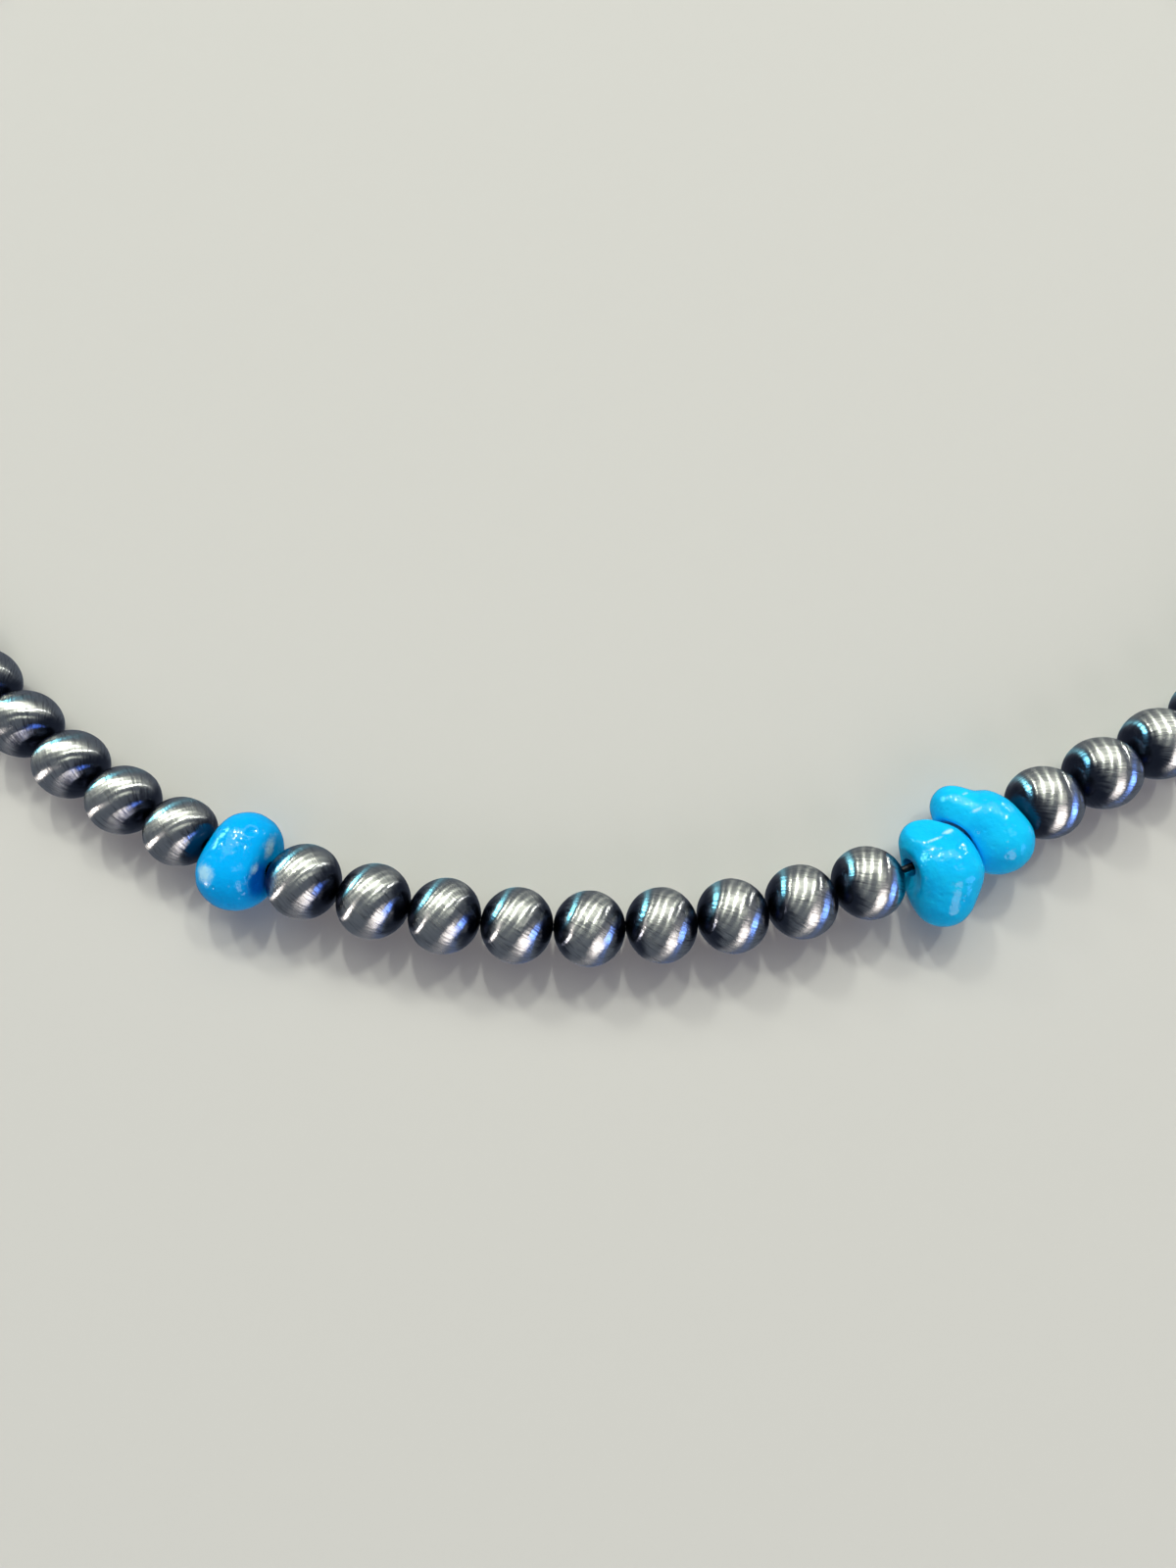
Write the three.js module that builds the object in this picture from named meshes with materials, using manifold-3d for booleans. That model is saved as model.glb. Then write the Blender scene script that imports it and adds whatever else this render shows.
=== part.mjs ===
// A choker of round silver beads and three turquoise nuggets on one wire, closed by a box clasp.
// It lies flat as a loop: +Z is up, the front is at -Y and the clasp at +Y. All sizes are millimetres.

import * as THREE from 'three';
import { mergeVertices } from 'three/addons/utils/BufferGeometryUtils.js';
import Module from 'manifold-3d';

const wasm = await Module();
wasm.setup();

// ---- driving sizes

const frontDiameter = 5.0;          // the round beads at the middle of the front
const leftDiameter = 4.7;           // made by hand, so the strand's two sides differ a little
const rightDiameter = 5.15;
const beadFlattening = 0.92;        // a bead's length along the wire over its diameter
const beadGap = 0.2;                // between the rims of neighbouring beads
const rimWidth = 0.14;              // the flat ring around each end of the bore
const boreDiameter = 1.2;
const wireDiameter = 0.5;
const wireHeight = frontDiameter / 2;

const claspLength = 10.4;
const claspWidth = 6.0;
const claspHeight = 4.4;
const claspBevel = 0.5;
const claspCorner = 2.0;
const claspHoleDepth = 2.6;
const wireIntoClasp = 2.0;

const beadSides = 14;
const beadBands = 6;
const stringSides = 10;
const stringBands = 4;
const stringWaist = 0.3;            // how far a string's waists stand out from the bore
const wireSides = 8;
const wireSteps = 80;
const smallestEdge = 1e-5;

// The wire's distance from the middle of the loop, every 15 degrees, from the front round by the right.
const loopRadii = [
  66.0, 65.6, 65.3, 67.6, 67.9, 67.0, 65.9, 64.8, 64.0, 63.5, 63.1, 63.0,
  62.9, 62.8, 62.8, 62.8, 62.9, 63.0, 63.2, 63.6, 64.1, 64.7, 65.7, 65.9,
];

// Everything on the wire, in order from the clasp's left end round by the front to its right end.
const strand = [
  { kind: 'string', name: 'bead_string_left_rear', count: 12, diameter: frontDiameter },
  { kind: 'string', name: 'bead_string_left', count: 11, diameter: leftDiameter },
  { kind: 'bead', count: 14, diameter: leftDiameter },
  { kind: 'nugget', name: 'turquoise_nugget_left', room: 4.45 },
  { kind: 'bead', count: 9, diameter: frontDiameter, middle: true },
  { kind: 'nugget', name: 'turquoise_nugget_middle', room: 4.8 },
  { kind: 'nugget', name: 'turquoise_nugget_right', room: 4.4 },
  { kind: 'bead', count: 14, diameter: rightDiameter },
  { kind: 'string', name: 'bead_string_right', count: 10, diameter: rightDiameter },
  { kind: 'string', name: 'bead_string_right_rear', count: 10, diameter: frontDiameter },
];

// Each nugget is some balls melted together, hollowed by balls where it lies against its neighbours,
// and worn flat in places. A ball is its middle (along the wire, inwards, up from the surface that the
// choker lies on) and its radius. A flat faces a bearing and a rise in degrees, at its reach from the bore.
const nuggetForms = {
  turquoise_nugget_left: {
    balls: [[0.3, -0.95, 2.6, 2.5], [0.0, 1.1, 2.5, 2.05], [0.55, 0.9, 2.4, 1.55]],
    melt: 1.1,
    hollows: [[4.8, 0.0, 2.5, 2.6], [-4.62, 0.0, 2.35, 2.45]],
    flats: [{ bearing: 10, rise: 15, reach: 2.2 }],
    heart: [0.0, 0.0, 2.5],
  },
  turquoise_nugget_middle: {
    balls: [[0.2, -1.1, 2.6, 2.6], [0.0, 1.15, 2.5, 1.6], [1.0, 0.2, 2.4, 1.75], [-0.5, -2.7, 2.3, 1.95]],
    melt: 0.8,
    hollows: [[-4.35, 0.15, 2.8, 2.8]],
    flats: [{ bearing: 90, rise: 47, reach: 2.05 }],
    heart: [0.1, -0.8, 2.5],
  },
  turquoise_nugget_right: {
    balls: [[0.2, -0.75, 2.5, 2.4], [0.0, 0.8, 2.5, 2.15], [-1.35, 1.6, 2.4, 1.5], [-1.3, 2.7, 2.4, 1.35]],
    melt: 0.8,
    hollows: [[-4.5, -0.7, 2.5, 2.8], [-3.6, 0.25, 2.5, 2.0], [4.85, 0.0, 2.6, 2.72]],
    flats: [],
    heart: [0.0, 0.2, 2.5],
  },
};
const nuggetTallness = 1.04;        // the balls are this much taller than they are wide
const hollowEase = 0.3;
const flatEase = 0.18;
const nuggetFarthest = 6.5;         // from a nugget's heart to well outside it
const nuggetHalvings = 24;
const nuggetBoreDiameter = 1.3;
const nuggetDrillLength = 16;
const nuggetWidthSegments = 24;
const nuggetHeightSegments = 16;

// ---- colours

const finishes = {
  silver: { color: 0x8e9092, roughness: 0.38, metalness: 1 },
  turquoise: { color: 0x14a8ee, roughness: 0.3, metalness: 0 },
  wire: { color: 0x6e6f72, roughness: 0.35, metalness: 1 },
};
const materials = {};
for (const [name, finish] of Object.entries(finishes)) {
  materials[name] = new THREE.MeshStandardMaterial({ name, ...finish });
}

// ---- the wire's route

const loopPoints = loopRadii.map((radius, i) => {
  const turn = (2 * Math.PI * i) / loopRadii.length;
  return new THREE.Vector3(radius * Math.sin(turn), -radius * Math.cos(turn), wireHeight);
});
const loop = new THREE.CatmullRomCurve3(loopPoints, true, 'catmullrom');
loop.arcLengthDivisions = 4000;
const loopLength = loop.getLength();

// The place and heading of the wire at a distance along it from the front, positive to the right.
function wireAt(distance) {
  const share = THREE.MathUtils.euclideanModulo(distance / loopLength, 1);
  const point = loop.getPointAt(share);
  const tangent = loop.getTangentAt(share);
  return { point, heading: Math.atan2(tangent.y, tangent.x) };
}

class WireStretch extends THREE.Curve {
  constructor(start, end) {
    super();
    this.start = start;
    this.end = end;
  }

  getPoint(t) {
    return wireAt(THREE.MathUtils.lerp(this.start, this.end, t)).point;
  }
}

// ---- solids

function bareCopy(geometry) {
  const bare = geometry.clone();
  bare.deleteAttribute('normal');
  bare.deleteAttribute('uv');
  return mergeVertices(bare, smallestEdge);
}

function toManifold(geometry) {
  const bare = bareCopy(geometry);
  return new wasm.Manifold(new wasm.Mesh({
    numProp: 3,
    vertProperties: new Float32Array(bare.getAttribute('position').array),
    triVerts: new Uint32Array(bare.getIndex().array),
  }));
}

function fromManifold(solid) {
  const mesh = solid.getMesh();
  const geometry = new THREE.BufferGeometry();
  geometry.setAttribute('position', new THREE.BufferAttribute(mesh.vertProperties, 3));
  geometry.setIndex(new THREE.BufferAttribute(mesh.triVerts, 1));
  geometry.computeVertexNormals();
  return geometry;
}

// A cylinder lying along X.
function rodAlongX(diameter, length, sides) {
  return new THREE.CylinderGeometry(diameter / 2, diameter / 2, length, sides).rotateZ(Math.PI / 2);
}

function cut(geometry, ...tools) {
  const solid = tools.reduce((body, tool) => body.subtract(toManifold(tool)), toManifold(geometry));
  return fromManifold(solid);
}

// ---- beads

const beadLength = (diameter) => diameter * beadFlattening;
const beadPitch = (diameter) => beadLength(diameter) + beadGap;

// One bead's outer profile from end to end, as (radius, along) points that start and end at a rim.
function beadArc(diameter, rimRadius, halfLength, bands) {
  const radius = diameter / 2;
  const rimAngle = Math.asin(rimRadius / radius);
  const stretch = halfLength / Math.cos(rimAngle);
  const points = [];
  for (let i = 0; i <= bands; i += 1) {
    const angle = THREE.MathUtils.lerp(rimAngle, Math.PI - rimAngle, i / bands);
    points.push(new THREE.Vector2(radius * Math.sin(angle), -stretch * Math.cos(angle)));
  }
  return points;
}

function latheAlongX(profile, sides) {
  return new THREE.LatheGeometry([...profile, profile[0]], sides).rotateZ(-Math.PI / 2);
}

function beadGeometry(diameter) {
  const half = beadLength(diameter) / 2;
  const bore = boreDiameter / 2;
  const arc = beadArc(diameter, bore + rimWidth, half, beadBands);
  const profile = [
    new THREE.Vector2(bore, -half),
    ...arc,
    new THREE.Vector2(bore, half),
  ];
  return latheAlongX(profile, beadSides);
}

// Several beads joined waist to waist, bored right through and bent along the wire.
function stringGeometry(diameter, count, middle) {
  const length = count * beadPitch(diameter) - beadGap;
  const pitch = length / count;
  const bore = boreDiameter / 2;
  const bead = beadArc(diameter, bore + stringWaist, pitch / 2, stringBands);
  const outside = [bead[0].clone()];
  const inside = [new THREE.Vector2(bore, pitch / 2)];
  outside[0].y -= (count - 1) / 2 * pitch;
  inside[0].y += (count - 1) / 2 * pitch;
  for (let i = 0; i < count; i += 1) {
    const centre = (i - (count - 1) / 2) * pitch;
    for (const point of bead.slice(1)) {
      outside.push(new THREE.Vector2(point.x, point.y + centre));
    }
    inside.push(new THREE.Vector2(bore, -centre - pitch / 2));
  }
  const straight = bareCopy(latheAlongX([...outside, ...inside], stringSides));
  return bendAlongWire(straight, middle, diameter / 2);
}

function bendAlongWire(geometry, middle, height) {
  const position = geometry.getAttribute('position');
  for (let i = 0; i < position.count; i += 1) {
    const { point, heading } = wireAt(middle + position.getX(i));
    const inward = position.getY(i);
    const up = position.getZ(i);
    position.setXYZ(
      i,
      point.x - inward * Math.sin(heading),
      point.y + inward * Math.cos(heading),
      height + up,
    );
  }
  geometry.computeVertexNormals();
  return geometry;
}

// ---- nuggets

// The smaller of two distances, eased into each other over a width.
function melt(first, second, width) {
  const near = Math.max(width - Math.abs(first - second), 0) / width;
  return Math.min(first, second) - (near * near * width) / 4;
}

function ballGap(point, [x, y, z, radius], tallness) {
  return Math.hypot(point.x - x, point.y - y, (point.z - z) / tallness) - radius;
}

function flatGap(point, flat) {
  const bearing = THREE.MathUtils.degToRad(flat.bearing);
  const rise = THREE.MathUtils.degToRad(flat.rise);
  const facing = new THREE.Vector3(
    Math.cos(rise) * Math.cos(bearing),
    Math.cos(rise) * Math.sin(bearing),
    Math.sin(rise),
  );
  return facing.dot(point.clone().setZ(point.z - wireHeight)) - flat.reach;
}

// How far a point lies outside a nugget; negative inside it.
function nuggetGap(form, point) {
  const [first, ...others] = form.balls.map((ball) => ballGap(point, ball, nuggetTallness));
  let gap = others.reduce((joined, other) => melt(joined, other, form.melt), first);
  for (const hollow of form.hollows) {
    gap = -melt(-gap, ballGap(point, hollow, 1), hollowEase);
  }
  for (const flat of form.flats) {
    gap = -melt(-gap, -flatGap(point, flat), flatEase);
  }
  return gap;
}

// The nugget's surface in a direction from its heart, closed in on by halving.
function nuggetSurface(form, direction) {
  const heart = new THREE.Vector3(...form.heart);
  let inside = 0;
  let outside = nuggetFarthest;
  for (let i = 0; i < nuggetHalvings; i += 1) {
    const reach = (inside + outside) / 2;
    if (nuggetGap(form, heart.clone().addScaledVector(direction, reach)) < 0) {
      inside = reach;
    } else {
      outside = reach;
    }
  }
  return heart.addScaledVector(direction, inside);
}

function nuggetGeometry(form) {
  const geometry = bareCopy(new THREE.SphereGeometry(1, nuggetWidthSegments, nuggetHeightSegments));
  geometry.rotateX(Math.PI / 2);
  const position = geometry.getAttribute('position');
  for (let i = 0; i < position.count; i += 1) {
    const direction = new THREE.Vector3().fromBufferAttribute(position, i).normalize();
    position.setXYZ(i, ...nuggetSurface(form, direction));
  }
  geometry.computeBoundingBox();
  geometry.translate(0, 0, -wireHeight - geometry.boundingBox.min.z);
  return cut(geometry, rodAlongX(nuggetBoreDiameter, nuggetDrillLength, beadSides));
}

// ---- the clasp: a plain closed box with a blind hole for the wire in each end

function claspGeometry() {
  const x = claspLength / 2 - claspBevel;
  const y = claspWidth / 2 - claspBevel;
  const corner = claspCorner - claspBevel;
  const outline = new THREE.Shape();
  outline.moveTo(-x + corner, -y);
  outline.lineTo(x - corner, -y);
  outline.absarc(x - corner, -y + corner, corner, -Math.PI / 2, 0);
  outline.lineTo(x, y - corner);
  outline.absarc(x - corner, y - corner, corner, 0, Math.PI / 2);
  outline.lineTo(-x + corner, y);
  outline.absarc(-x + corner, y - corner, corner, Math.PI / 2, Math.PI);
  outline.lineTo(-x, -y + corner);
  outline.absarc(-x + corner, -y + corner, corner, Math.PI, 1.5 * Math.PI);
  const box = new THREE.ExtrudeGeometry(outline, {
    depth: claspHeight - 2 * claspBevel,
    curveSegments: 4,
    bevelThickness: claspBevel,
    bevelSize: claspBevel,
    bevelSegments: 2,
  });
  box.translate(0, 0, claspBevel);
  const hole = rodAlongX(boreDiameter, 2 * claspHoleDepth, beadSides);
  hole.translate(0, 0, wireHeight);
  return cut(
    box,
    hole.clone().translate(-claspLength / 2, 0, 0),
    hole.clone().translate(claspLength / 2, 0, 0),
  );
}

// ---- stringing

function addMesh(group, name, geometry, material) {
  const mesh = new THREE.Mesh(geometry, material);
  mesh.name = name;
  group.add(mesh);
  return mesh;
}

// Lays a straight piece on the wire, its own X along it.
function layOnWire(mesh, distance, height) {
  const { point, heading } = wireAt(distance);
  mesh.position.set(point.x, point.y, height);
  mesh.rotation.z = heading;
}

function rowLength(row) {
  return row.kind === 'nugget' ? row.room : row.count * beadPitch(row.diameter);
}

function strandStart() {
  const middleRow = strand.findIndex((row) => row.middle);
  const before = strand.slice(0, middleRow).reduce((sum, row) => sum + rowLength(row), 0);
  return -before - rowLength(strand[middleRow]) / 2;
}

function stringAll(group) {
  let start = strandStart();
  let beadNumber = 0;
  const beads = new Map();
  for (const row of strand) {
    const middle = start + rowLength(row) / 2;
    if (row.kind === 'string') {
      addMesh(group, row.name, stringGeometry(row.diameter, row.count, middle), materials.silver);
    } else if (row.kind === 'nugget') {
      const mesh = addMesh(group, row.name, nuggetGeometry(nuggetForms[row.name]), materials.turquoise);
      layOnWire(mesh, middle, wireHeight);
    } else {
      if (!beads.has(row.diameter)) {
        beads.set(row.diameter, beadGeometry(row.diameter));
      }
      for (let i = 0; i < row.count; i += 1) {
        beadNumber += 1;
        const name = `silver_bead_${String(beadNumber).padStart(2, '0')}`;
        const mesh = addMesh(group, name, beads.get(row.diameter), materials.silver);
        layOnWire(mesh, start + (i + 0.5) * beadPitch(row.diameter), row.diameter / 2);
      }
    }
    start += rowLength(row);
  }
  return start;
}

// ---- the whole choker

const choker = new THREE.Group();
const strandEnd = stringAll(choker);
const claspMiddle = (strandEnd + strandStart() + loopLength) / 2;

const clasp = addMesh(choker, 'box_clasp', claspGeometry(), materials.silver);
layOnWire(clasp, claspMiddle, 0);

const wireStart = claspMiddle - loopLength + claspLength / 2 - wireIntoClasp;
const wireEnd = claspMiddle - claspLength / 2 + wireIntoClasp;
const wireSection = new THREE.Shape().absarc(0, 0, wireDiameter / 2, 0, 2 * Math.PI);
addMesh(choker, 'stringing_wire', new THREE.ExtrudeGeometry(wireSection, {
  steps: wireSteps,
  curveSegments: wireSides / 2,
  extrudePath: new WireStretch(wireStart, wireEnd),
}), materials.wire);

// The origin is the middle of the choker's footprint, on the surface that it lies on.
const footprint = new THREE.Box3().setFromObject(choker, true);
const middle = footprint.getCenter(new THREE.Vector3());
choker.position.set(-middle.x, -middle.y, -footprint.min.z);

export default choker;
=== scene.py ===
# A choker of oxidised silver beads and three turquoise nuggets, lying flat as a loop on a pale table.
# Metres. +Z is up, the front of the loop is at -Y and the clasp at +Y.
import math
import random

import bpy
import bmesh
from mathutils import Matrix, Vector


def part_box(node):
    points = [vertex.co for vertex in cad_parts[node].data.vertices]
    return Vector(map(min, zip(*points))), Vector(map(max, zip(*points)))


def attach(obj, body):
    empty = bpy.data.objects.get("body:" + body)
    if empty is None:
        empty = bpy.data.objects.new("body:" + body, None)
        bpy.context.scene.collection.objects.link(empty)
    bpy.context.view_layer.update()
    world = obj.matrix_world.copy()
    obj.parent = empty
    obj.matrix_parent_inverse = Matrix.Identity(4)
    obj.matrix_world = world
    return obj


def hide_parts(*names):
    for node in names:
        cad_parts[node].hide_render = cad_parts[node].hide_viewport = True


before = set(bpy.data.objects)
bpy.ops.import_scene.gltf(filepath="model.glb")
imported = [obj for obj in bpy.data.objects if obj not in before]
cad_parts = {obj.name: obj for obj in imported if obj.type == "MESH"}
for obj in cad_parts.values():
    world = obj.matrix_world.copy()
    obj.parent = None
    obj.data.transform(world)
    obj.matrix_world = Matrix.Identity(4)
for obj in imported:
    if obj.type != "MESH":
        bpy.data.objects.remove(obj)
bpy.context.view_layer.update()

scene = bpy.context.scene
scene.view_settings.view_transform = "Standard"
bpy.ops.object.select_all(action="DESELECT")
dice = random.Random(7)
tiny = 1e-6


# The camera looks nearly straight down on the front of the loop.
camera = {
    "place": (-0.00356, -0.06799, 0.05833),
    "turn": (13.12, -2.03, 0.42),      # degrees
    "lens": 25.5,
    "sensorWidth": 36,
    "nearest": 0.002,
}


def addCamera():
    bpy.ops.object.camera_add(
        location=camera["place"],
        rotation=[math.radians(angle) for angle in camera["turn"]],
    )
    view = bpy.context.object
    view.data.sensor_fit = "HORIZONTAL"
    view.data.sensor_width = camera["sensorWidth"]
    view.data.lens = camera["lens"]
    view.data.clip_start = camera["nearest"]
    scene.camera = view


addCamera()
print("camera set")


# The wire's route, and then what is strung on it from the clasp round by the left.
route = {
    # distance from the middle of the loop, every 15 degrees, from the front round by the right
    "radii": [
        0.0660, 0.0656, 0.0653, 0.0676, 0.0679, 0.0670, 0.0659, 0.0648,
        0.0640, 0.0635, 0.0631, 0.0630, 0.0629, 0.0628, 0.0628, 0.0628,
        0.0629, 0.0630, 0.0632, 0.0636, 0.0641, 0.0647, 0.0657, 0.0659,
    ],
    "height": 0.0025,
    "samples": 4000,
}

sizes = {
    "front": 0.0050,
    "left": 0.0047,
    "right": 0.00515,
    "flattening": 0.92,                # a bead's length along the wire over its diameter
    "gap": 0.0002,
}

strand = [
    {"kind": "string", "name": "bead_string_left_rear", "count": 12, "diameter": sizes["front"]},
    {"kind": "string", "name": "bead_string_left", "count": 11, "diameter": sizes["left"]},
    {"kind": "bead", "count": 14, "diameter": sizes["left"]},
    {"kind": "nugget", "name": "turquoise_nugget_left", "room": 0.00445},
    {"kind": "bead", "count": 9, "diameter": sizes["front"], "middle": True},
    {"kind": "nugget", "name": "turquoise_nugget_middle", "room": 0.0048},
    {"kind": "nugget", "name": "turquoise_nugget_right", "room": 0.0044},
    {"kind": "bead", "count": 14, "diameter": sizes["right"]},
    {"kind": "string", "name": "bead_string_right", "count": 10, "diameter": sizes["right"]},
    {"kind": "string", "name": "bead_string_right_rear", "count": 10, "diameter": sizes["front"]},
]


def corner(number):
    radii = route["radii"]
    turn = 2 * math.pi * number / len(radii)
    radius = radii[number % len(radii)]
    return Vector((radius * math.sin(turn), -radius * math.cos(turn), route["height"]))


# The loop as a smooth curve through its corners, from 0 at the front round by the right to 1.
def roundLoop(share):
    place = (share % 1) * len(route["radii"])
    first = math.floor(place)
    t = place - first
    a, b, c, d = (corner(first + step) for step in (-1, 0, 1, 2))
    square = (2 * a - 5 * b + 4 * c - d) * t ** 2
    cube = (3 * b - a - 3 * c + d) * t ** 3
    return 0.5 * (2 * b + (c - a) * t + square + cube)


# Points along the loop, shifted so that its front is at the CAD's middle front bead, and the length
# up to each of them.
def measureRoute():
    points = [roundLoop(i / route["samples"]) for i in range(route["samples"] + 1)]
    lengths = [0.0]
    for before, after in zip(points, points[1:]):
        lengths.append(lengths[-1] + (after - before).length)
    front = sum(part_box("silver_bead_19"), Vector()) / 2
    shift = Vector((front.x, front.y, 0)) - Vector((points[0].x, points[0].y, 0))
    return [point + shift for point in points], lengths


routePoints, routeLengths = measureRoute()
loopLength = routeLengths[-1]


# The wire's place and heading at a distance along it from the front, positive to the right.
def wireAt(distance):
    distance %= loopLength
    low, high = 0, len(routeLengths) - 1
    while high - low > 1:
        half = (low + high) // 2
        low, high = (half, high) if routeLengths[half] <= distance else (low, half)
    step = routePoints[high] - routePoints[low]
    share = (distance - routeLengths[low]) / step.length
    return routePoints[low] + step * share, math.atan2(step.y, step.x)


def rowLength(row):
    if row["kind"] == "nugget":
        return row["room"]
    return row["count"] * (row["diameter"] * sizes["flattening"] + sizes["gap"])


# Where the first row begins, so that the middle row lies evenly about the front.
def strandStart():
    length = 0
    for row in strand:
        if row.get("middle"):
            return -length - rowLength(row) / 2
        length += rowLength(row)


def activate(piece):
    bpy.ops.object.select_all(action="DESELECT")
    piece.select_set(True)
    bpy.context.view_layer.objects.active = piece


def selectEdges(piece, wanted):
    bpy.ops.mesh.select_all(action="DESELECT")
    bpy.ops.mesh.select_mode(type="EDGE")
    mesh = bmesh.from_edit_mesh(piece.data)
    for edge in mesh.edges:
        edge.select = all(wanted(vertex.co) for vertex in edge.verts)
    mesh.select_flush_mode()
    bmesh.update_edit_mesh(piece.data)


def applyModifiers(piece):
    activate(piece)
    for modifier in list(piece.modifiers):
        bpy.ops.object.modifier_apply(modifier=modifier.name)


# A straight piece, its own X along the wire, laid on the wire.
def layOnWire(piece, distance, height):
    point, heading = wireAt(distance)
    piece.matrix_world = Matrix.Translation((point.x, point.y, height)) @ Matrix.Rotation(heading, 4, "Z")
    activate(piece)
    bpy.ops.object.transform_apply(location=True, rotation=True, scale=True)


def finishPiece(piece, name, nodes, material):
    piece.name = name
    piece.data.name = name
    piece.data.materials.clear()
    piece.data.materials.append(material)
    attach(piece, "root")
    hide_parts(*nodes)


def startMaterial(name):
    material = bpy.data.materials.new(name)
    material.use_nodes = True
    tree = material.node_tree
    return material, tree, tree.nodes["Principled BSDF"]


# Adds a shader node and fills its sockets. A key such as i6 means the socket of that number.
def addNode(tree, kind, settings=None, **values):
    node = tree.nodes.new("ShaderNode" + kind)
    for key, value in (settings or {}).items():
        setattr(node, key, value)
    for key, value in values.items():
        socket = node.inputs[int(key[1:])] if key[0] == "i" and key[1:].isdigit() else node.inputs[key]
        if isinstance(value, bpy.types.NodeSocket):
            tree.links.new(value, socket)
        else:
            socket.default_value = value
    return node


def calculate(tree, operation, first, second=0.0):
    node = addNode(tree, "Math", {"operation": operation}, i0=first, i1=second)
    return node.outputs[0]


def mixColour(tree, factor, first, second):
    node = addNode(tree, "Mix", {"data_type": "RGBA"}, i0=factor, i6=first, i7=second)
    return node.outputs[2]


def mixNumber(tree, factor, first, second):
    node = addNode(tree, "Mix", {"data_type": "FLOAT"}, i0=factor, i2=first, i3=second)
    return node.outputs[0]


def spread(tree, value, fromRange, toRange):
    node = addNode(tree, "MapRange", i0=value, i1=fromRange[0], i2=fromRange[1], i3=toRange[0], i4=toRange[1])
    return node.outputs[0]


def smoothStep(tree, value, low, high):
    node = addNode(tree, "MapRange", {"interpolation_type": "SMOOTHSTEP"}, i0=value, i1=low, i2=high)
    return node.outputs[0]


silver = {
    "crown": (0.58, 0.59, 0.56, 1),
    "patina": (0.06, 0.07, 0.095, 1),
    "fineGrain": {"Scale": 15.0, "Detail": 2.0, "Roughness": 0.6},
    "broadGrain": {"Scale": 5.0, "Detail": 2.0},
    "mottle": {"Scale": 0.8, "Detail": 4.0, "Roughness": 0.65},
    "patinaStart": (1.35, 2.55),       # millimetres from the bead's middle, bright to dark
    "mottling": 0.9,                   # how far the mottle moves the patina's edge
    "broadStreaks": 0.5,
    "fineStreaks": 0.35,
    "fineStreakRange": (0.45, 0.7),
    "patinaRange": (0.1, 1.15),
    "roughness": (0.21, 0.285),
    "grainRange": (0.3, 0.7),
    "collar": (1.2, 1.7),              # millimetres from the middle, over which it gets smoother
    "collarRoughness": 0.17,
    "anisotropy": 1.0,
    "brushDepth": 0.000026,
    "broadDepth": 1.2,                 # the broad grain's depth over the fine one's
    "bumpStrength": 0.8,
}


# Satin silver, brushed round the bore at a slant and left darker around the holes.
def makeSilver():
    material, tree, shader = startMaterial("oxidisedSilver")
    place = addNode(tree, "Attribute", {"attribute_name": "beadPlace"}).outputs["Vector"]
    brushed = addNode(tree, "Attribute", {"attribute_name": "beadBrush"}).outputs["Vector"]
    seed = addNode(tree, "Attribute", {"attribute_name": "beadSeed"}).outputs["Fac"]
    parts = addNode(tree, "SeparateXYZ", i0=place).outputs
    noise4 = {"noise_dimensions": "4D"}
    fine = addNode(tree, "TexNoise", noise4, Vector=brushed, W=seed, **silver["fineGrain"]).outputs[0]
    broad = addNode(tree, "TexNoise", noise4, Vector=brushed, W=seed, **silver["broadGrain"]).outputs[0]
    mottle = addNode(tree, "TexNoise", noise4, Vector=place, W=seed, **silver["mottle"]).outputs[0]
    # patina: darker near the holes and in brushed streaks, with a mottled edge
    off = calculate(tree, "ABSOLUTE", parts[0])
    wavy = calculate(tree, "ADD", off, calculate(tree, "MULTIPLY", mottle, silver["mottling"]))
    dark = smoothStep(tree, wavy, *silver["patinaStart"])
    streaked = calculate(tree, "ADD", dark, calculate(tree, "MULTIPLY", broad, silver["broadStreaks"]))
    fineStreaks = smoothStep(tree, fine, *silver["fineStreakRange"])
    fineStreaks = calculate(tree, "MULTIPLY", fineStreaks, silver["fineStreaks"])
    amount = smoothStep(tree, calculate(tree, "ADD", streaked, fineStreaks), *silver["patinaRange"])
    colour = mixColour(tree, amount, silver["crown"], silver["patina"])
    tree.links.new(colour, shader.inputs["Base Color"])
    rough = spread(tree, broad, silver["grainRange"], silver["roughness"])
    collar = smoothStep(tree, off, *silver["collar"])
    tree.links.new(mixNumber(tree, collar, rough, silver["collarRoughness"]), shader.inputs["Roughness"])
    height = calculate(tree, "ADD", fine, calculate(tree, "MULTIPLY", broad, silver["broadDepth"]))
    bump = addNode(
        tree, "Bump", Strength=silver["bumpStrength"], Distance=silver["brushDepth"], Height=height
    )
    tree.links.new(bump.outputs[0], shader.inputs["Normal"])
    around = addNode(tree, "Tangent", {"direction_type": "UV_MAP", "uv_map": "beadWrap"})
    tree.links.new(around.outputs[0], shader.inputs["Tangent"])
    shader.inputs["Metallic"].default_value = 1
    shader.inputs["Anisotropic"].default_value = silver["anisotropy"]
    return material


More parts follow.
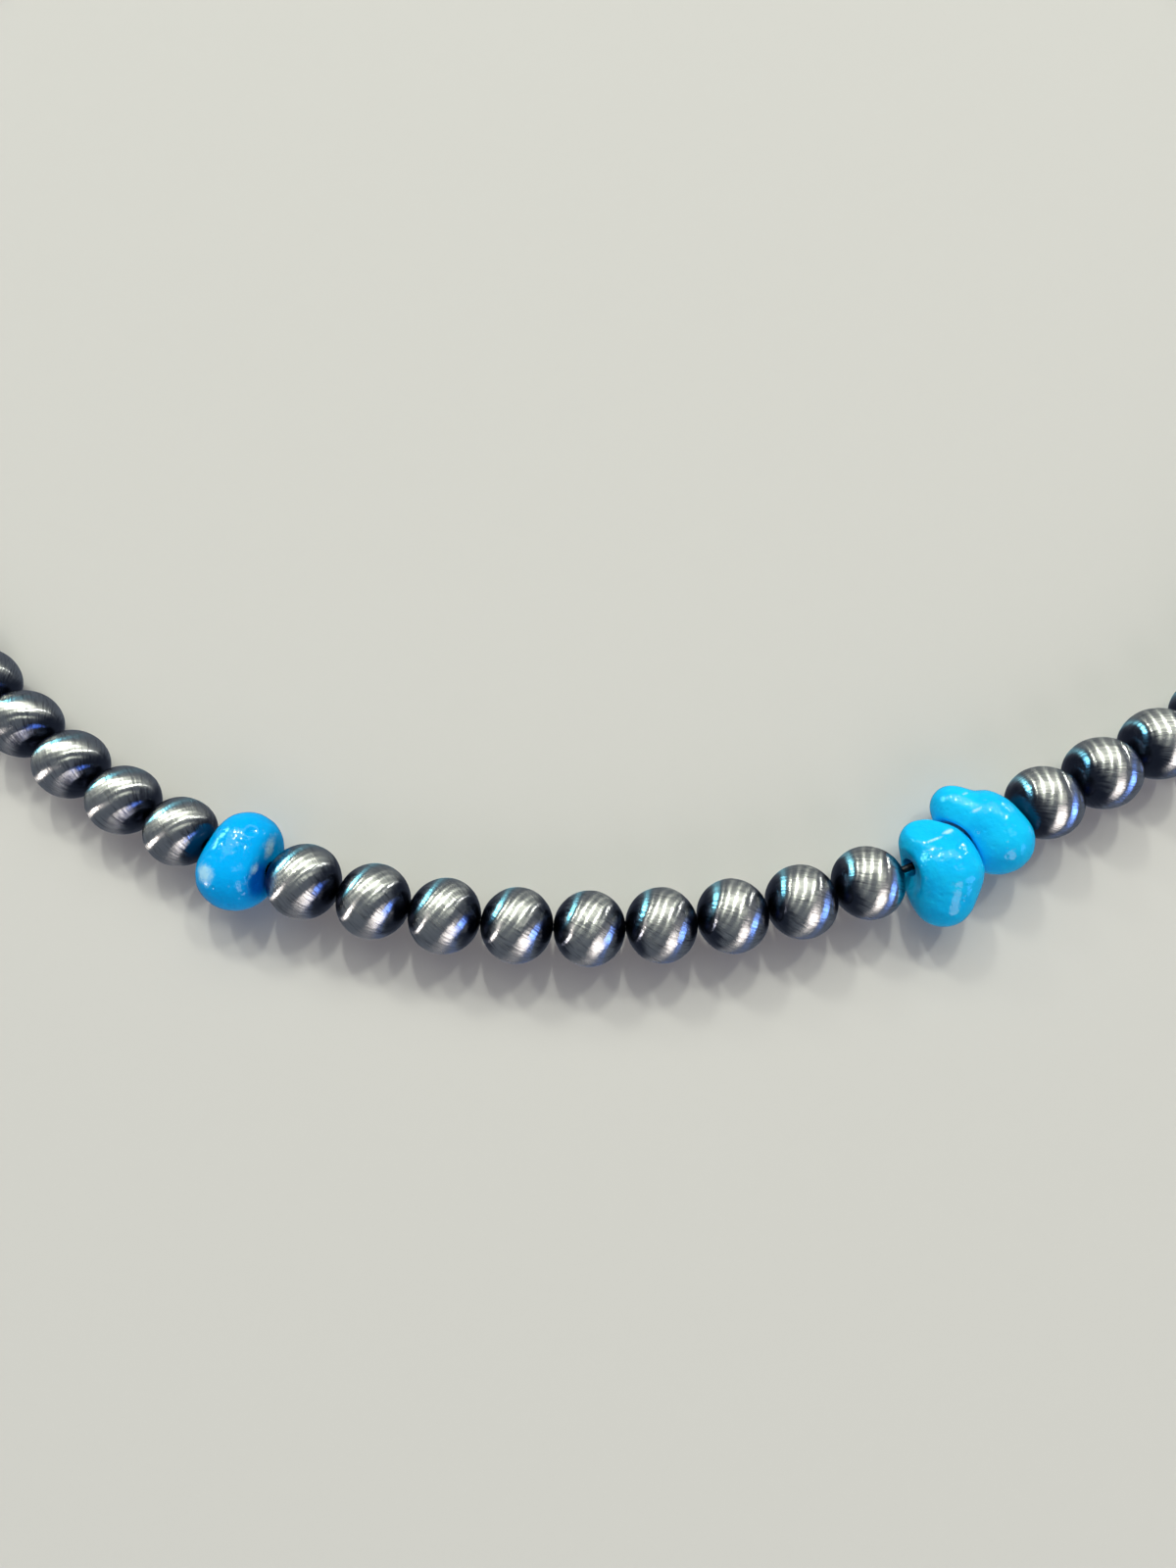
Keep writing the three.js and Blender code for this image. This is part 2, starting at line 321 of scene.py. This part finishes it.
turquoise = {
    "deep": (0.0, 0.39, 0.90, 1),
    "bright": (0.008, 0.58, 0.97, 1),
    "pale": (0.42, 0.74, 0.95, 1),
    "shaded": (0.0, 0.10, 0.50, 1),
    "clouds": {"Scale": 420.0, "Detail": 4.0, "Roughness": 0.55},
    "patches": {"Scale": 2600.0, "Detail": 4.0, "Roughness": 0.7, "Distortion": 1.0},
    "dimples": {"Scale": 2200.0, "Detail": 2.0, "Roughness": 0.5},
    "pits": {"Scale": 1100.0},
    "clouding": 0.9,
    "shadeRange": (0.1, 0.8),
    "breaking": 0.9,                   # how far the patches break up a worn place
    "scuffAndGlintRange": (0.8, 1.4),
    "scuffAndGlintStrength": 0.85,
    "fleckRange": (0.66, 0.78),
    "fleckStrength": 0.35,
    "roughness": (0.04, 0.10),
    "grainRange": (0.3, 0.7),
    "scuffAndGlintRoughness": 0.25,
    "pitRange": (0.0, 0.22),
    "pitDepth": 0.5,                   # over the dimples' depth
    "dimpleDepth": 0.0001,
    "bumpStrength": 0.5,
    "specular": 0.24,
    "glow": 0.1,
    "glowRadius": (0.2, 0.6, 1.0),
    "glowScale": 0.0006,
}


# Waxy sky-blue stone with cloudy depths. Its attributes say where it is worn pale and where painted
# highlights are put as pale marks, where painted shade deepens its blue, and how deep its tone is.
def makeTurquoise():
    material, tree, shader = startMaterial("skyTurquoise")
    place = addNode(tree, "TexCoord").outputs["Object"]
    wornAndGlinting = addNode(tree, "Attribute", {"attribute_name": "wornAndGlinting"}).outputs["Fac"]
    cloudy = addNode(tree, "TexNoise", Vector=place, **turquoise["clouds"]).outputs[0]
    patches = addNode(tree, "TexNoise", Vector=place, **turquoise["patches"]).outputs[0]
    dimples = addNode(tree, "TexNoise", Vector=place, **turquoise["dimples"]).outputs[0]
    pits = addNode(tree, "TexVoronoi", Vector=place, **turquoise["pits"]).outputs[0]
    tone = addNode(tree, "Attribute", {"attribute_name": "tone"}).outputs["Fac"]
    clouded = calculate(tree, "ADD", tone, calculate(tree, "MULTIPLY", cloudy, turquoise["clouding"]))
    colour = mixColour(tree, smoothStep(tree, clouded, 0.0, 1.0), turquoise["deep"], turquoise["bright"])
    # Painted shade: the nugget's shade marks turn its blue deeper where a face lies in shadow.
    shade = addNode(tree, "Attribute", {"attribute_name": "shade"}).outputs["Fac"]
    shaded = smoothStep(tree, shade, *turquoise["shadeRange"])
    colour = mixColour(tree, shaded, colour, turquoise["shaded"])
    # Pale marks: real scuffs and worn flat edges, and painted highlights put where glints would fall.
    broken = calculate(tree, "MULTIPLY", patches, turquoise["breaking"])
    scuffAndGlint = smoothStep(tree, calculate(tree, "ADD", wornAndGlinting, broken), *turquoise["scuffAndGlintRange"])
    flecks = smoothStep(tree, patches, *turquoise["fleckRange"])
    flecks = calculate(tree, "MULTIPLY", flecks, turquoise["fleckStrength"])
    pale = calculate(tree, "MULTIPLY", scuffAndGlint, turquoise["scuffAndGlintStrength"])
    pale = calculate(tree, "MAXIMUM", pale, flecks)
    colour = mixColour(tree, pale, colour, turquoise["pale"])
    tree.links.new(colour, shader.inputs["Base Color"])
    rough = spread(tree, dimples, turquoise["grainRange"], turquoise["roughness"])
    scuffRough = calculate(tree, "MULTIPLY", scuffAndGlint, turquoise["scuffAndGlintRoughness"])
    tree.links.new(calculate(tree, "ADD", rough, scuffRough), shader.inputs["Roughness"])
    sunk = smoothStep(tree, pits, *turquoise["pitRange"])
    height = calculate(tree, "ADD", dimples, calculate(tree, "MULTIPLY", sunk, turquoise["pitDepth"]))
    bump = addNode(
        tree, "Bump", Strength=turquoise["bumpStrength"], Distance=turquoise["dimpleDepth"], Height=height
    )
    tree.links.new(bump.outputs[0], shader.inputs["Normal"])
    shader.inputs["Specular IOR Level"].default_value = turquoise["specular"]
    shader.inputs["Subsurface Weight"].default_value = turquoise["glow"]
    shader.inputs["Subsurface Radius"].default_value = turquoise["glowRadius"]
    shader.inputs["Subsurface Scale"].default_value = turquoise["glowScale"]
    return material


wireMetal = {
    "dark": (0.02, 0.02, 0.022, 1),
    "light": (0.07, 0.07, 0.075, 1),
    "grime": {"Scale": 900.0, "Detail": 3.0},
    "roughness": (0.3, 0.5),
}


def makeWire():
    material, tree, shader = startMaterial("darkWire")
    place = addNode(tree, "TexCoord").outputs["Object"]
    grime = addNode(tree, "TexNoise", Vector=place, **wireMetal["grime"]).outputs[0]
    colour = mixColour(tree, grime, wireMetal["dark"], wireMetal["light"])
    tree.links.new(colour, shader.inputs["Base Color"])
    tree.links.new(spread(tree, grime, (0.0, 1.0), wireMetal["roughness"]), shader.inputs["Roughness"])
    shader.inputs["Metallic"].default_value = 1
    return material


claspMetal = {
    "clean": (0.36, 0.37, 0.36, 1),
    "tarnished": (0.12, 0.13, 0.15, 1),
    "brushing": (6000, 300, 6000),     # fine across the brushing and long along it
    "brush": {"Scale": 1.0, "Detail": 3.0},
    "tarnish": {"Scale": 500.0, "Detail": 4.0},
    "tarnishRange": (0.42, 0.68),
    "grainRange": (0.3, 0.7),
    "roughness": (0.34, 0.5),
    "brushDepth": 0.00001,
    "bumpStrength": 0.3,
}


def makeClaspSilver():
    material, tree, shader = startMaterial("plainSilver")
    place = addNode(tree, "TexCoord").outputs["Object"]
    brushed = addNode(tree, "Mapping", Vector=place, Scale=claspMetal["brushing"]).outputs[0]
    brush = addNode(tree, "TexNoise", Vector=brushed, **claspMetal["brush"]).outputs[0]
    tarnish = addNode(tree, "TexNoise", Vector=place, **claspMetal["tarnish"]).outputs[0]
    dark = smoothStep(tree, tarnish, *claspMetal["tarnishRange"])
    colour = mixColour(tree, dark, claspMetal["clean"], claspMetal["tarnished"])
    tree.links.new(colour, shader.inputs["Base Color"])
    rough = spread(tree, brush, claspMetal["grainRange"], claspMetal["roughness"])
    tree.links.new(rough, shader.inputs["Roughness"])
    bump = addNode(
        tree, "Bump", Strength=claspMetal["bumpStrength"], Distance=claspMetal["brushDepth"], Height=brush
    )
    tree.links.new(bump.outputs[0], shader.inputs["Normal"])
    shader.inputs["Metallic"].default_value = 1
    return material


silverFinish = makeSilver()
claspFinish = makeClaspSilver()
turquoiseFinish = makeTurquoise()
wireFinish = makeWire()
print("materials made")


bead = {
    "segments": 56,
    "rings": 36,
    "boreDiameter": 0.0012,            # these two only set how far the ball is stretched along its bore
    "rimWidth": 0.00014,
    "cutNearness": 0.0001,             # a ring of vertices this near the cut counts as on it
    "unevenness": 0.00007,
    "unevenSize": 0.0019,
    "unevenDetail": 1,
    "brushSlant": 0.58,                # how far the brushing winds round the bore for its way along it
    "brushLength": 0.08,               # how fast the grain changes along the bore; small is long streaks
    "mapReach": 1.03,                  # where the winding map would end, over the bead's own reach
}


# A round bead lying along X, as a shell that is open at both ends. It ends at the ring nearest to its
# cut and has no rim, and its bore has no wall.
def makeBead(diameter):
    half = diameter * sizes["flattening"] / 2
    rim = bead["boreDiameter"] / 2 + bead["rimWidth"]
    stretch = half / math.cos(math.asin(rim / (diameter / 2)))
    bpy.ops.mesh.primitive_uv_sphere_add(
        segments=bead["segments"], ring_count=bead["rings"], radius=diameter / 2, location=(0, 0, 0)
    )
    piece = bpy.context.object
    bpy.ops.object.mode_set(mode="EDIT")
    bpy.ops.mesh.select_all(action="SELECT")
    bpy.ops.transform.resize(value=(1, 1, stretch / (diameter / 2)), center_override=(0, 0, 0))
    for side in (1, -1):
        bpy.ops.mesh.select_all(action="SELECT")
        bpy.ops.mesh.bisect(
            plane_co=(0, 0, side * half),
            plane_no=(0, 0, side),
            clear_outer=True,
            threshold=bead["cutNearness"],
        )
    bpy.ops.mesh.select_all(action="SELECT")
    bpy.ops.mesh.normals_make_consistent(inside=False)
    bpy.ops.transform.rotate(value=-math.pi / 2, orient_axis="Y", center_override=(0, 0, 0))
    bpy.ops.object.mode_set(mode="OBJECT")
    bpy.ops.object.shade_smooth()
    wrapRound(piece)
    return piece


# The bead's own map winds round the bore, slanted as the brushing is. Its attributes keep where each
# point was on the straight bead, in millimetres, and where it lies in the brushing.
def wrapRound(piece):
    mesh = piece.data
    wrap = mesh.uv_layers[0]
    wrap.name = "beadWrap"
    far = bead["mapReach"] * max(vertex.co.x for vertex in mesh.vertices)
    for face in mesh.polygons:
        turns = [mesh.vertices[mesh.loops[loop].vertex_index].co for loop in face.loop_indices]
        turns = [math.atan2(place.z, place.y) for place in turns]
        for loop, turn in zip(face.loop_indices, turns):
            if max(turns) - turn > math.pi:
                turn += 2 * math.pi
            along = math.atanh(mesh.vertices[mesh.loops[loop].vertex_index].co.x / far)
            wrap.data[loop].uv = (turn, along + bead["brushSlant"] * turn)
    place = mesh.attributes.new("beadPlace", "FLOAT_VECTOR", "POINT")
    brush = mesh.attributes.new("beadBrush", "FLOAT_VECTOR", "POINT")
    for vertex in mesh.vertices:
        here = vertex.co * 1000
        turn = math.atan2(here.z, here.y) - bead["brushSlant"] * math.atanh(vertex.co.x / far)
        place.data[vertex.index].vector = here
        brush.data[vertex.index].vector = (bead["brushLength"] * here.x, math.cos(turn), math.sin(turn))


uneven = bpy.data.textures.new("handmade", "CLOUDS")
uneven.noise_scale = bead["unevenSize"]
uneven.noise_depth = bead["unevenDetail"]
masters = {}       # one bead of each size, to copy from


# One bead of the strand: a copy of the bead of its size, laid on the wire and made a little uneven.
def strungBead(diameter, distance):
    if diameter not in masters:
        masters[diameter] = makeBead(diameter)
    master = masters[diameter]
    piece = master.copy()
    piece.data = master.data.copy()
    scene.collection.objects.link(piece)
    seed = piece.data.attributes.new("beadSeed", "FLOAT", "POINT")
    seed.data.foreach_set("value", [dice.uniform(0, 50)] * len(piece.data.vertices))
    layOnWire(piece, distance, diameter / 2)
    roughening = piece.modifiers.new("handmade", "DISPLACE")
    roughening.texture = uneven
    roughening.texture_coords = "LOCAL"
    roughening.strength = bead["unevenness"]
    applyModifiers(piece)
    return piece


def stringRow(row, start):
    pitch = row["diameter"] * sizes["flattening"] + sizes["gap"]
    return [strungBead(row["diameter"], start + (i + 0.5) * pitch) for i in range(row["count"])]


# Each nugget is some balls melted together, hollowed where it lies against its neighbours and worn
# flat in places. In millimetres: along the wire, inwards and up, from the table under the bore.
# Its scuffs are pale marks, some of them painted highlights, and its shades are painted shade.
nuggetForms = {
    "turquoise_nugget_left": {
        "balls": [((0.3, -0.95, 2.6), 2.5), ((0.0, 1.1, 2.5), 2.05), ((0.55, 0.9, 2.4), 1.55)],
        "melt": 1.1,
        "hollows": [((4.8, 0.0, 2.5), 2.6), ((-4.62, 0.0, 2.35), 2.45), ((0.72, 2.0, 4.62), 0.3)],
        "flats": [{"bearing": 10, "rise": 15, "reach": 2.2}],
        "heart": (0.0, 0.0, 2.5),
        "tone": -0.52,
        # Pale marks: the one at (1.5, -1.4, 4.4) is a painted highlight, the others are worn places.
        "scuffsAndGlints": [
            {"at": (-0.65, -1.65, 4.75), "size": (1.0, 0.75, 0.9)},
            {"at": (1.85, 1.25, 3.35), "size": (0.3, 0.9, 0.6)},
            {"at": (1.9, -0.3, 4.1), "size": (0.14, 0.7, 0.5), "strength": 0.7},
            {"at": (1.5, -1.4, 4.4), "size": (0.3, 0.25, 0.5)},
        ],
        # Painted shade: the right face, turned towards the next bead, is painted a deeper blue.
        "shades": [{"at": (2.2, -0.8, 3.4), "size": (0.8, 1.4, 1.4)}],
    },
    "turquoise_nugget_middle": {
        "balls": [
            ((0.2, -1.1, 2.6), 2.6),
            ((0.0, 1.15, 2.5), 1.6),
            ((1.0, 0.2, 2.4), 1.75),
            ((-0.5, -2.7, 2.3), 1.95),
        ],
        "melt": 0.8,
        "hollows": [((-4.35, 0.15, 2.8), 2.8)],
        "flats": [{"bearing": 90, "rise": 47, "reach": 2.05}],
        "heart": (0.1, -0.8, 2.5),
        "tone": 0.1,
        "scuffsAndGlints": [
            {"at": (1.2, 1.2, 4.1), "size": (0.6, 0.14, 0.5), "strength": 0.7},
            {"at": (0.0, 1.1, 4.2), "size": (0.6, 0.1, 0.5), "strength": 0.7},
        ],
        "shades": [],
    },
    "turquoise_nugget_right": {
        "balls": [
            ((0.2, -0.75, 2.5), 2.4),
            ((0.0, 0.8, 2.5), 2.15),
            ((-1.35, 1.6, 2.4), 1.5),
            ((-1.3, 2.7, 2.4), 1.35),
        ],
        "melt": 0.8,
        "hollows": [((-4.5, -0.7, 2.5), 2.8), ((-3.6, 0.25, 2.5), 2.0), ((4.85, 0.0, 2.6), 2.72)],
        "flats": [],
        "heart": (0.0, 0.2, 2.5),
        "tone": 0.15,
        # Pale marks: the first three are painted highlights.
        "scuffsAndGlints": [
            {"at": (-0.95, 1.7, 4.3), "size": (0.5, 0.16, 0.6), "strength": 0.9},
            {"at": (-0.1, 1.4, 4.3), "size": (0.3, 0.16, 0.5), "strength": 0.9},
            {"at": (-0.45, -1.0, 4.6), "size": (0.25, 0.16, 0.4), "strength": 0.9},
            {"at": (-0.7, 3.0, 3.8), "size": (0.4, 0.14, 0.5), "strength": 0.8},
        ],
        "shades": [],
    },
}

nugget = {
    "fineness": 6,
    "tall": 1.04,                      # how much higher than wide its balls are
    "hollowEase": 0.3,
    "flatEase": 0.18,
    "farthest": 6.5,                   # the walk to the surface starts this far out
    "stride": 0.8,                     # a step of that walk over the gap that is left
    "nearness": 0.002,
    "edgeWear": 0.3,
    "wornWidth": 0.16,
    "lumps": 0.00006,
    "lumpSize": 0.0009,
    "lumpDetail": 2,
    "boreDiameter": 0.0013,
    "boreSides": 40,
    "drillLength": 0.016,
    "crease": 50,                      # degrees; sharper edges than this stay sharp
}


def melt(first, second, width):
    near = max(width - abs(first - second), 0) / width
    return min(first, second) - near * near * width / 4


# How far a place lies outside the balls of a nugget, and how far outside each of its flats.
def gapsTo(form, place):
    outside = None
    for middle, radius in form["balls"]:
        off = place - Vector(middle)
        off.z /= nugget["tall"]
        gap = off.length - radius
        outside = gap if outside is None else melt(outside, gap, form["melt"])
    for middle, radius in form["hollows"]:
        outside = -melt(-outside, (place - Vector(middle)).length - radius, nugget["hollowEase"])
    flats = []
    for flat in form["flats"]:
        bearing, rise = math.radians(flat["bearing"]), math.radians(flat["rise"])
        level = math.cos(rise)
        facing = Vector((level * math.cos(bearing), level * math.sin(bearing), math.sin(rise)))
        flats.append((place - Vector((0, 0, route["height"] * 1000))).dot(facing) - flat["reach"])
    return outside, flats


# Walks from outside towards the nugget's heart until the surface is met. Also says how near the
# edge of a flat that is.
def surfacePlace(form, direction):
    heart = Vector(form["heart"])
    reach = nugget["farthest"]
    gap = reach
    while gap > nugget["nearness"]:
        outside, flats = gapsTo(form, heart + direction * reach)
        gap = outside
        for flat in flats:
            gap = -melt(-gap, -flat, nugget["flatEase"])
        reach -= gap * nugget["stride"]
    edge = min([abs(outside - flat) for flat in flats], default=nugget["farthest"])
    return heart + direction * reach, math.exp(-(edge / nugget["wornWidth"]) ** 2)


# How strongly a place is under the nearest of some soft-edged marks.
def marked(marks, place):
    most = 0
    for mark in marks:
        off = [(a - b) / c for a, b, c in zip(place, mark["at"], mark["size"])]
        most = max(most, mark.get("strength", 1) * math.exp(-sum(a * a for a in off)))
    return most


def makeNugget(form):
    bpy.ops.mesh.primitive_ico_sphere_add(subdivisions=nugget["fineness"], radius=1, location=(0, 0, 0))
    piece = bpy.context.object
    vertices = piece.data.vertices
    wornAndGlinting = []
    shade = []
    for vertex in vertices:
        place, edge = surfacePlace(form, vertex.co.normalized())
        # Pale marks come from the scuffs, with painted highlights among them, and from wear along the flats'
        # edges.
        wornAndGlinting.append(min(1, marked(form["scuffsAndGlints"], place) + nugget["edgeWear"] * edge))
        shade.append(marked(form["shades"], place))
        vertex.co = place / 1000
    lowest = min(vertex.co.z for vertex in vertices)
    for vertex in vertices:
        vertex.co.z -= lowest + route["height"]
    for name, values in (("wornAndGlinting", wornAndGlinting), ("shade", shade), ("tone", [form["tone"]] * len(vertices))):
        attribute = piece.data.attributes.new(name, "FLOAT", "POINT")
        attribute.data.foreach_set("value", values)
    return piece


def boreNugget(piece):
    bpy.ops.mesh.primitive_cylinder_add(
        vertices=nugget["boreSides"],
        radius=nugget["boreDiameter"] / 2,
        depth=nugget["drillLength"],
        rotation=(0, math.pi / 2, 0),
    )
    drill = bpy.context.object
    boring = piece.modifiers.new("bore", "BOOLEAN")
    boring.object = drill
    boring.operation = "DIFFERENCE"
    boring.solver = "EXACT"
    applyModifiers(piece)
    bpy.data.objects.remove(drill)


lumpy = bpy.data.textures.new("lumpy", "CLOUDS")
lumpy.noise_scale = nugget["lumpSize"]
lumpy.noise_depth = nugget["lumpDetail"]


def roughenNugget(piece):
    lumps = piece.modifiers.new("lumps", "DISPLACE")
    lumps.texture = lumpy
    lumps.texture_coords = "LOCAL"
    lumps.strength = nugget["lumps"]
    applyModifiers(piece)


def stringAll():
    start = strandStart()
    number = 0
    for row in strand:
        if row["kind"] == "nugget":
            piece = makeNugget(nuggetForms[row["name"]])
            roughenNugget(piece)
            boreNugget(piece)
            layOnWire(piece, start + rowLength(row) / 2, route["height"])
            bpy.ops.object.shade_smooth_by_angle(angle=math.radians(nugget["crease"]))
            finishPiece(piece, "stone_" + row["name"], [row["name"]], turquoiseFinish)
        elif row["kind"] == "bead":
            for piece in stringRow(row, start):
                number += 1
                node = f"silver_bead_{number:02d}"
                finishPiece(piece, f"round_{node}", [node], silverFinish)
        else:
            beads = stringRow(row, start)
            activate(beads[0])
            for other in beads[1:]:
                other.select_set(True)
            bpy.ops.object.join()
            finishPiece(beads[0], "round_" + row["name"], [row["name"]], silverFinish)
        start += rowLength(row)
    for master in masters.values():
        bpy.data.objects.remove(master)


stringAll()
print("beads and nuggets strung")


wire = {"diameter": 0.0005, "points": 500, "roundness": 3, "crease": 50}

clasp = {
    "length": 0.0104,
    "width": 0.0060,
    "height": 0.0044,
    "corner": 0.0020,
    "cornerSegments": 10,
    "edge": 0.0005,
    "edgeSegments": 5,
    "holeDiameter": 0.0012,
    "holeDepth": 0.0026,
    "holeSides": 40,
    "wireIn": 0.0020,                  # how far the wire goes into each hole
    "crease": 40,
}


def makeWireRun(start, end):
    line = bpy.data.curves.new("wire", "CURVE")
    line.dimensions = "3D"
    line.bevel_depth = wire["diameter"] / 2
    line.bevel_resolution = wire["roundness"]
    line.use_fill_caps = True
    run = line.splines.new("POLY")
    run.points.add(wire["points"] - 1)
    for i, point in enumerate(run.points):
        place = wireAt(start + (end - start) * i / (wire["points"] - 1))[0]
        point.co = (*place, 1)
    piece = bpy.data.objects.new("wire", line)
    scene.collection.objects.link(piece)
    activate(piece)
    bpy.ops.object.convert(target="MESH")
    bpy.ops.object.shade_smooth_by_angle(angle=math.radians(wire["crease"]))
    return bpy.context.object


def makeClasp():
    bpy.ops.mesh.primitive_cube_add(size=1, location=(0, 0, 0))
    piece = bpy.context.object
    bpy.ops.object.mode_set(mode="EDIT")
    bpy.ops.mesh.select_all(action="SELECT")
    size = (clasp["length"], clasp["width"], clasp["height"])
    bpy.ops.transform.resize(value=size, center_override=(0, 0, 0))
    bpy.ops.mesh.select_mode(type="EDGE")
    mesh = bmesh.from_edit_mesh(piece.data)
    for edge in mesh.edges:
        a, b = (vertex.co for vertex in edge.verts)
        edge.select = abs(a.z - b.z) > tiny
    mesh.select_flush_mode()
    bpy.ops.mesh.bevel(offset=clasp["corner"], segments=clasp["cornerSegments"], affect="EDGES")
    for side in (1, -1):
        selectEdges(piece, lambda place: abs(place.z - side * clasp["height"] / 2) < tiny)
        bpy.ops.mesh.bevel(offset=clasp["edge"], segments=clasp["edgeSegments"], affect="EDGES")
    bpy.ops.object.mode_set(mode="OBJECT")
    for side in (1, -1):
        drillClasp(piece, side * clasp["length"] / 2)
    bpy.ops.object.shade_smooth_by_angle(angle=math.radians(clasp["crease"]))
    return piece


def drillClasp(piece, end):
    bpy.ops.mesh.primitive_cylinder_add(
        vertices=clasp["holeSides"],
        radius=clasp["holeDiameter"] / 2,
        depth=2 * clasp["holeDepth"],
        location=(end, 0, route["height"] - clasp["height"] / 2),
        rotation=(0, math.pi / 2, 0),
    )
    drill = bpy.context.object
    drilling = piece.modifiers.new("hole", "BOOLEAN")
    drilling.object = drill
    drilling.operation = "DIFFERENCE"
    drilling.solver = "EXACT"
    applyModifiers(piece)
    bpy.data.objects.remove(drill)


claspMiddle = (strandStart() + sum(rowLength(row) for row in strand) + strandStart() + loopLength) / 2
claspReach = clasp["length"] / 2 - clasp["wireIn"]
wireRun = makeWireRun(claspMiddle - loopLength + claspReach, claspMiddle - claspReach)
finishPiece(wireRun, "dark_stringing_wire", ["stringing_wire"], wireFinish)
boxClasp = makeClasp()
layOnWire(boxClasp, claspMiddle, clasp["height"] / 2)
finishPiece(boxClasp, "plain_box_clasp", ["box_clasp"], claspFinish)
print("wire and clasp made")


table = {"size": 6.0, "colour": (0.57, 0.56, 0.55, 1), "roughness": 0.7, "specular": 0}


def layTable():
    bpy.ops.mesh.primitive_plane_add(size=table["size"], location=(0, 0, 0))
    top = bpy.context.object
    top.name = "table"
    top.visible_glossy = False         # the silver mirrors the dim room and not the pale table
    material, tree, shader = startMaterial("paleTable")
    shader.inputs["Base Color"].default_value = table["colour"]
    shader.inputs["Roughness"].default_value = table["roughness"]
    shader.inputs["Specular IOR Level"].default_value = table["specular"]      # so no lamp glares on it
    top.data.materials.append(material)


# Soft boxes, each aimed at the front of the loop: bearing from +Y towards +X and height, both in
# degrees, its size and its brightness. One that is only for gloss lights nothing that is matt, and one
# that is only soft is mirrored in nothing.
softBoxes = [
    {
        "name": "keyPanel", "bearing": -5, "height": 46, "size": (1.6, 0.62), "bright": 2.2,
    },
    {
        "name": "fillPanel", "only": "soft", "bearing": -5, "height": 60, "size": (1.4, 1.0),
        "bright": 0.8,
    },
    {
        "name": "warmStrip", "bearing": 154, "height": 26, "size": (0.50, 0.80),
        "bright": 4.3, "tint": (1, 0.90, 0.88),
    },
    {
        "name": "coolPanel", "only": "gloss", "bearing": 113, "height": 20,
        "size": (0.34, 0.44), "bright": 9, "tint": (0.16, 0.32, 1),
    },
    {
        "name": "cyanStrip", "only": "gloss", "bearing": -56, "height": 10,
        "size": (0.22, 0.28), "bright": 30, "tint": (0.26, 0.80, 1),
    },
    {
        "name": "overhead", "only": "gloss", "bearing": 75, "height": 66,
        "size": (0.14, 0.60), "bright": 2.5,
    },
    {
        "name": "smallWhite", "only": "gloss", "bearing": 48, "height": 9,
        "size": (0.08, 0.08), "bright": 45, "tint": (1, 1, 0.97),
    },
    {
        "name": "leftLow", "only": "gloss", "bearing": -115, "height": 7,
        "size": (0.15, 0.22), "bright": 26, "tint": (1, 0.90, 0.87),
    },
]

# Bright tubes before the key panel: how far each stands to the side, its height and its brightness.
tubes = [(-0.86, 33, 100), (-0.38, 41, 145), (0.08, 49, 158), (0.56, 57, 130)]
tubeSize = (0.06, 0.12)
for aside, height, bright in tubes:
    softBoxes.append({
        "name": f"tube_{height}",
        "bearing": softBoxes[0]["bearing"],
        "height": height,
        "size": tubeSize,
        "aside": aside,
        "bright": bright,
    })

lighting = {
    "aim": (0, -0.055, 0),
    "distance": 1.2,
    "tint": (0.98, 1, 0.87),
    "room": (0.60, 0.68, 0.86, 1),
    "roomStrength": 0.22,
}


def addSoftBox(box):
    bearing = math.radians(box["bearing"])
    height = math.radians(box["height"])
    level = math.cos(height)
    direction = Vector((level * math.sin(bearing), level * math.cos(bearing), math.sin(height)))
    sideways = Vector((math.cos(bearing), -math.sin(bearing), 0)) * box.get("aside", 0)
    place = Vector(lighting["aim"]) + direction * lighting["distance"] + sideways
    bpy.ops.object.light_add(type="AREA", location=place)
    lamp = bpy.context.object
    lamp.name = box["name"]
    lamp.rotation_euler = direction.to_track_quat("Z", "Y").to_euler()
    lamp.data.shape = "RECTANGLE"
    lamp.data.size, lamp.data.size_y = box["size"]
    lamp.data.energy = box["bright"] * math.pi * box["size"][0] * box["size"][1]
    lamp.data.color = box.get("tint", lighting["tint"])
    lamp.visible_diffuse = box.get("only") != "gloss"
    lamp.visible_glossy = box.get("only") != "soft"


def lightRoom():
    room = bpy.data.worlds.new("room")
    scene.world = room
    room.use_nodes = True
    background = room.node_tree.nodes["Background"]
    background.inputs["Color"].default_value = lighting["room"]
    background.inputs["Strength"].default_value = lighting["roomStrength"]


layTable()
for box in softBoxes:
    addSoftBox(box)
lightRoom()
print("table and lights placed")
